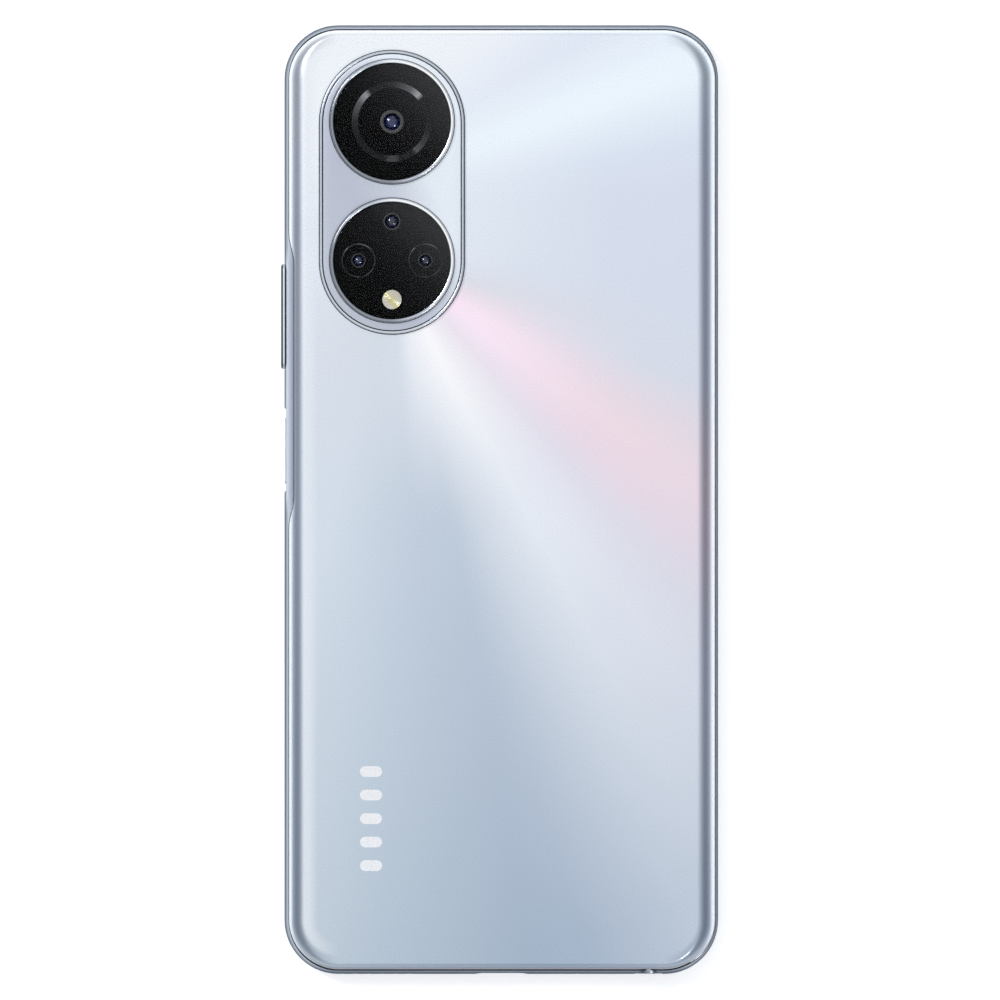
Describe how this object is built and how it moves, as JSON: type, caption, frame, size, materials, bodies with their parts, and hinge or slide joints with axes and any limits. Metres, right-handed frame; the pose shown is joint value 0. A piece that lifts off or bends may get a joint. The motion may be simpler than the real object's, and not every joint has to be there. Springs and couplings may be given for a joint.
{
  "type": "smartphone",
  "caption": "Slim bar smartphone with a pearl-silver curved back, a pill-shaped camera island with two round lens rings, side keys, ports and full internal stack.",
  "frame": {"origin": "centre of the display glass's outer face, with the phone lying on its display", "axes": "+X across the width (away from the keys), +Y along the length towards the camera end, +Z out of the back"},
  "size_m": [0.0772, 0.1676, 0.0102],
  "materials": {
    "frame_shell": "moulded polycarbonate with a satin silver-blue lacquer",
    "back_shell": "clear-coated polycarbonate over a pearl film, silver with a pale blue and pink play of colour",
    "cover_tape": "black foam adhesive tape",
    "island_metal": "polished and lacquered camera trim",
    "island_plate": "lacquered camera plate",
    "lens_cover": "dark tinted cover glass",
    "lens_mask": "black printed film",
    "camera_body": "black camera moulding",
    "flash_lens": "ribbed clear flash lens",
    "flash_led": "phosphor-coated diode on its board",
    "bracket_steel": "stamped stainless steel",
    "front_glass": "black display cover glass",
    "display_stack": "liquid crystal panel with its backlight",
    "flex_circuit": "amber polyimide flexible circuit",
    "dark_moulding": "black moulded plastic",
    "speaker_cone": "pressed speaker film",
    "dust_mesh": "woven dust mesh",
    "circuit_board": "solder-masked circuit board",
    "connector": "board connector",
    "port_steel": "nickel-plated port shell",
    "gold_contact": "gold-plated spring contact",
    "rotor_metal": "heavy sintered rotor",
    "chassis": "die-cast chassis plate",
    "battery_wrap": "lithium polymer cell in its laminated pouch",
    "pull_tape": "white pull tape",
    "coax": "thin jacketed aerial cable",
    "graphite": "graphite heat-spreading film",
    "screw_steel": "blackened steel screw",
    "key_metal": "lacquered key cap",
    "sensor_face": "coated fingerprint sensor"
  },
  "bodies": {
    "phone_body": {"side_frame": "frame_shell", "mid_plate": "chassis", "back_cover": "back_shell", "back_cover_adhesive": "cover_tape", "camera_bezel": "island_metal", "camera_plate": "island_plate", "main_lens_ring": "island_metal", "aux_lens_ring": "island_metal", "main_lens_glass": "lens_cover", "aux_lens_glass": "lens_cover", "main_lens_mask": "lens_mask", "aux_lens_mask": "lens_mask", "main_camera_housing": "camera_body", "wide_camera": "camera_body", "depth_camera": "camera_body", "macro_camera": "camera_body", "flash_diffuser": "flash_lens", "flash_led": "flash_led", "camera_bracket": "bracket_steel", "display_glass": "front_glass", "display_adhesive": "cover_tape", "lcd_panel": "display_stack", "display_flex": "flex_circuit", "front_camera": "camera_body", "earpiece_receiver": "dark_moulding", "earpiece_mesh": "dust_mesh", "main_board": "circuit_board", "board_shields": "bracket_steel", "board_connectors": "connector", "sim_reader": "bracket_steel", "upper_bracket": "dark_moulding", "sub_board": "circuit_board", "usb_c_shell": "port_steel", "usb_c_tongue": "dark_moulding", "headphone_jack": "dark_moulding", "jack_contacts": "gold_contact", "loudspeaker_box": "dark_moulding", "speaker_mesh": "dust_mesh", "microphones": "gold_contact", "vibration_motor_case": "bracket_steel", "battery_cell": "battery_wrap", "battery_board": "flex_circuit", "battery_adhesive": "pull_tape", "main_flex": "flex_circuit", "coax_cable": "coax", "graphite_sheet": "graphite", "board_screws": "screw_steel", "side_key_flex": "flex_circuit", "key_domes": "bracket_steel"},
    "volume_key": {"volume_key": "key_metal"},
    "power_key": {"power_key": "key_metal", "fingerprint_sensor": "sensor_face"},
    "sim_tray": {"sim_tray": "frame_shell"},
    "eject_rod": {"eject_rod": "bracket_steel"},
    "eject_lever": {"eject_lever": "bracket_steel"},
    "focus_barrel": {"main_camera_barrel": "camera_body"},
    "vibration_rotor": {"vibration_motor_rotor": "rotor_metal"},
    "speaker_cone": {"loudspeaker_diaphragm": "speaker_cone"},
    "earpiece_cone": {"earpiece_diaphragm": "speaker_cone"}
  },
  "joints": [
    {"name": "volume_rock", "type": "hinge", "parent": "phone_body", "child": "volume_key", "pos_m": [-0.0361, 0.03235, 0.0042], "axis": [0, 0, 1], "range_deg": [-1.2, 1.2], "stiffness_Nm_per_rad": 0.4},
    {"name": "power_press", "type": "slide", "parent": "phone_body", "child": "power_key", "axis": [1, 0, 0], "range_m": [0, 0.0002], "stiffness_N_per_m": 8000},
    {"name": "tray_slide", "type": "slide", "parent": "phone_body", "child": "sim_tray", "axis": [1, 0, 0], "range_m": [0, 0.03]},
    {"name": "eject_push", "type": "slide", "parent": "phone_body", "child": "eject_rod", "axis": [-1, 0, 0], "range_m": [0, 0.0012]},
    {"name": "eject_turn", "type": "hinge", "parent": "phone_body", "child": "eject_lever", "pos_m": [0.0051, 0.0472, 0.0043], "axis": [0, 0, -1], "range_deg": [0, 18]},
    {"name": "lens_focus", "type": "slide", "parent": "phone_body", "child": "focus_barrel", "axis": [0, 0, 1], "range_m": [0, 0.0003], "stiffness_N_per_m": 100},
    {"name": "motor_spin", "type": "hinge", "parent": "phone_body", "child": "vibration_rotor", "pos_m": [0.014, -0.072, 0.0051], "axis": [0, 0, 1], "continuous": true},
    {"name": "speaker_travel", "type": "slide", "parent": "phone_body", "child": "speaker_cone", "axis": [0, 0, 1], "range_m": [-0.0003, 0.0003], "stiffness_N_per_m": 1500},
    {"name": "earpiece_travel", "type": "slide", "parent": "phone_body", "child": "earpiece_cone", "axis": [0, 0, 1], "range_m": [-0.0001, 0.0001], "stiffness_N_per_m": 1500}
  ],
  "couplings": [
    {"joint": "eject_turn", "follows": "eject_push", "rad_per_m": 261.8}
  ]
}
